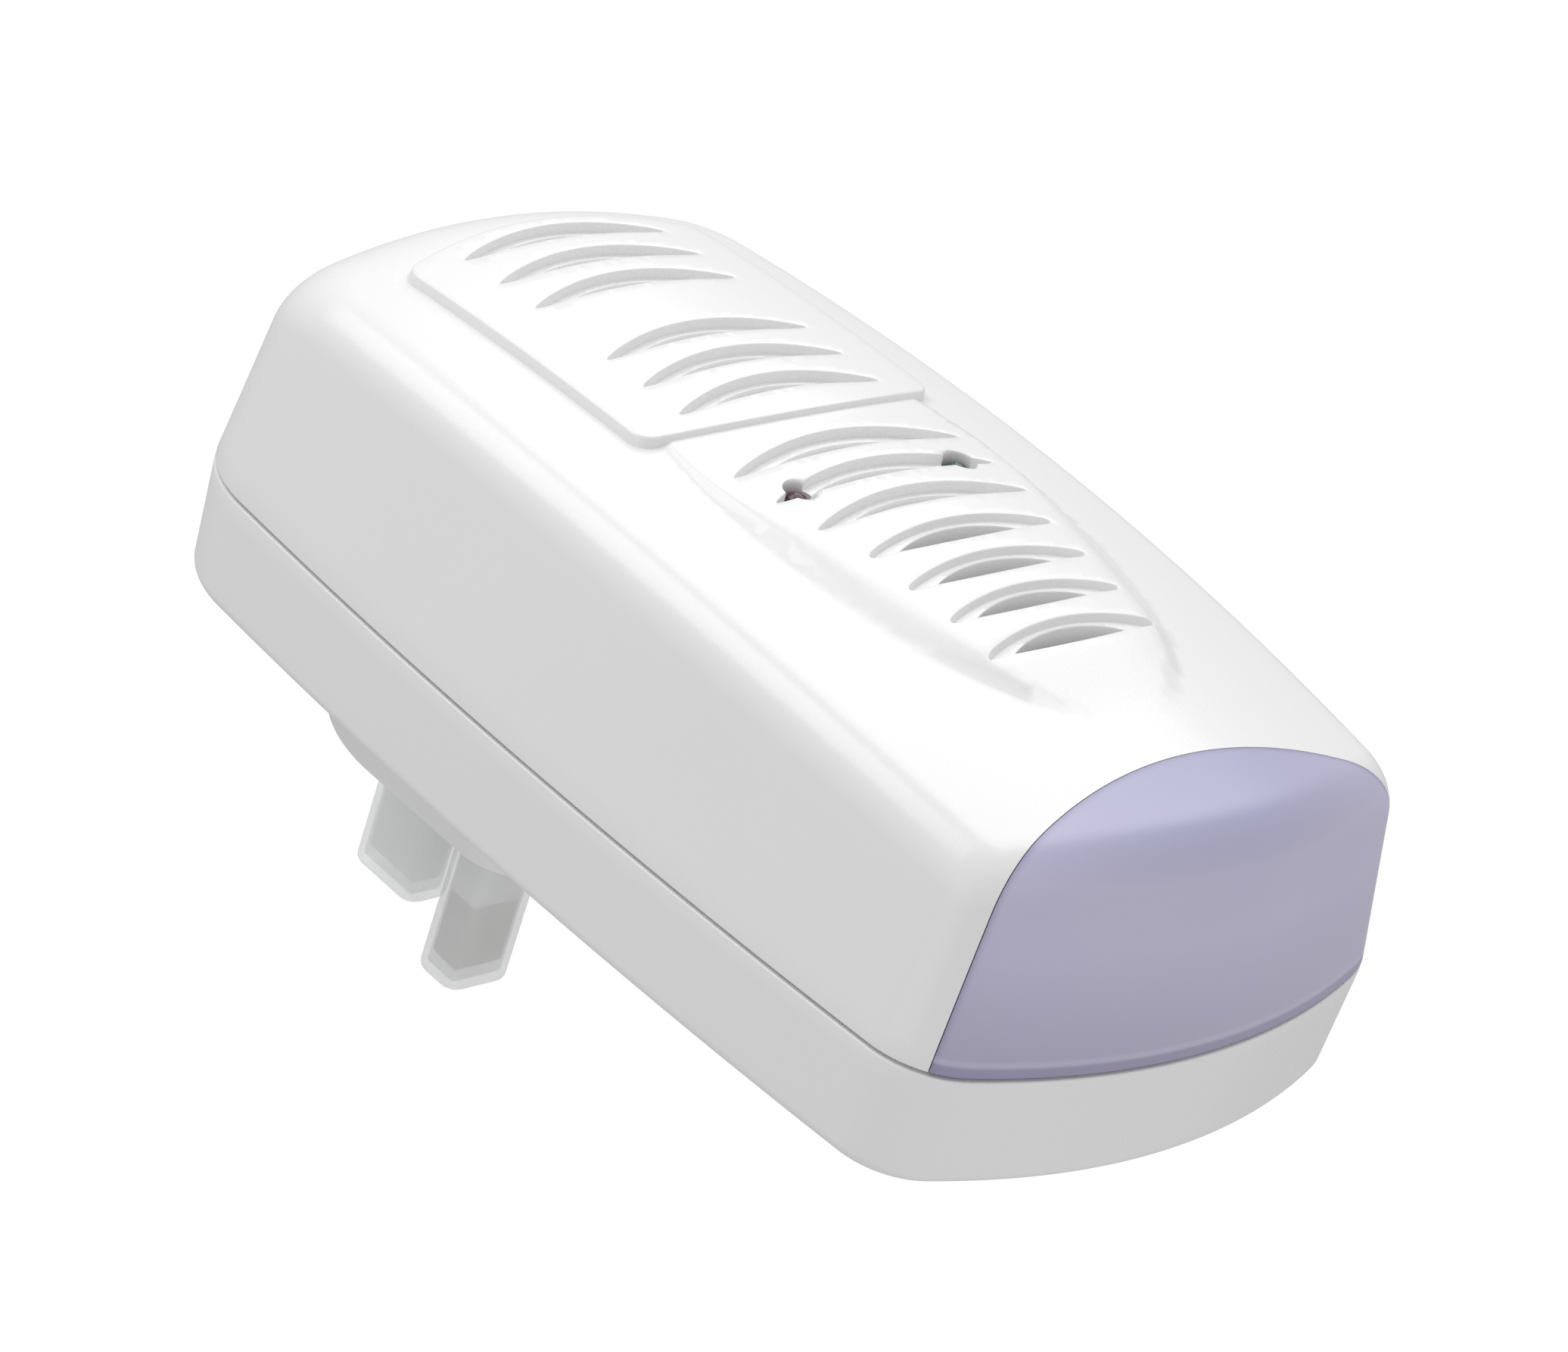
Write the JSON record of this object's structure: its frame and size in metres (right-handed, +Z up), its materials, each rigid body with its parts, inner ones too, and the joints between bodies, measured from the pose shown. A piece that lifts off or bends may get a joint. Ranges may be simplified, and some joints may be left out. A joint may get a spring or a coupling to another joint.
{
  "type": "ultrasonic pest repeller",
  "caption": "Plug-in ultrasonic pest repeller: bowed white case with crescent vents, lilac night-light lens, type G plug and clear pin cover.",
  "frame": {"origin": "centre of the three-pin plug, midway between the earth pin and the line of the other two, on the plug face that rests on the socket", "axes": "+Y points into the wall along the pins, -Y is the front, +Z is up with the earth pin at the top, +X is to the right seen from the front"},
  "size_m": [0.071, 0.08, 0.126],
  "materials": {
    "shell_white": "glossy white moulded ABS",
    "lens_lilac": "glossy translucent lilac, diffusing",
    "plug_white": "satin white moulded plastic",
    "pin_metal": "nickel-tinged, dull",
    "piezo_brass": "rolled sheet",
    "sleeve_white": "matt insulating sleeve",
    "retainer_grey": "matt",
    "screw_steel": "zinc plated",
    "cover_clear": "frosted translucent polypropylene",
    "board_tan": "paper phenolic board",
    "solder": "bright solder",
    "wire_brown": "smooth insulation",
    "fuse_glass": "clear glass",
    "capacitor_yellow": "moulded case",
    "capacitor_black": "shrink sleeve",
    "black_epoxy": "moulded epoxy",
    "ferrite": "sintered ferrite",
    "copper_wire": "enamelled copper",
    "resistor_tan": "lacquered",
    "film_green": "dipped lacquer",
    "led_red": "tinted epoxy",
    "led_green": "tinted epoxy",
    "led_water_clear": "clear epoxy",
    "baffle_white": "matt white",
    "speaker_black": "matt",
    "diaphragm_paper": "pressed paper",
    "foam_black": "closed-cell foam",
    "wire_red": "smooth insulation"
  },
  "bodies": {
    "case": {"front_shell": "shell_white", "rear_shell": "shell_white", "night_light_lens": "lens_lilac", "plug_block": "plug_white", "live_pin": "pin_metal", "neutral_pin": "pin_metal", "earth_pin": "plug_white", "pin_sleeves": "sleeve_white", "pin_retainer": "retainer_grey", "retainer_screws": "screw_steel", "plug_block_screws": "screw_steel", "case_screws": "screw_steel", "circuit_board": "board_tan", "board_screws": "screw_steel", "solder_joints": "solder", "mains_wires": "wire_brown", "fuse": "fuse_glass", "dropper_capacitor": "capacitor_yellow", "smoothing_capacitor": "capacitor_black", "rectifier_diodes": "black_epoxy", "coil_core": "ferrite", "coil_winding": "copper_wire", "oscillator_chip": "black_epoxy", "driver_transistors": "black_epoxy", "resistors": "resistor_tan", "film_capacitors": "film_green", "red_indicator_led": "led_red", "green_indicator_led": "led_green", "led_spacers": "speaker_black", "night_light_leds": "led_water_clear", "light_baffle": "baffle_white", "speaker_housing": "speaker_black", "speaker_diaphragm": "diaphragm_paper", "piezo_disc": "piezo_brass", "speaker_gasket": "foam_black", "speaker_wires": "wire_red"},
    "pin_cover": {"pin_cover": "cover_clear"}
  },
  "joints": [
    {"name": "pin_cover_pull", "type": "slide", "parent": "case", "child": "pin_cover", "axis": [0, 1, 0], "range_m": [0, 0.03]}
  ]
}
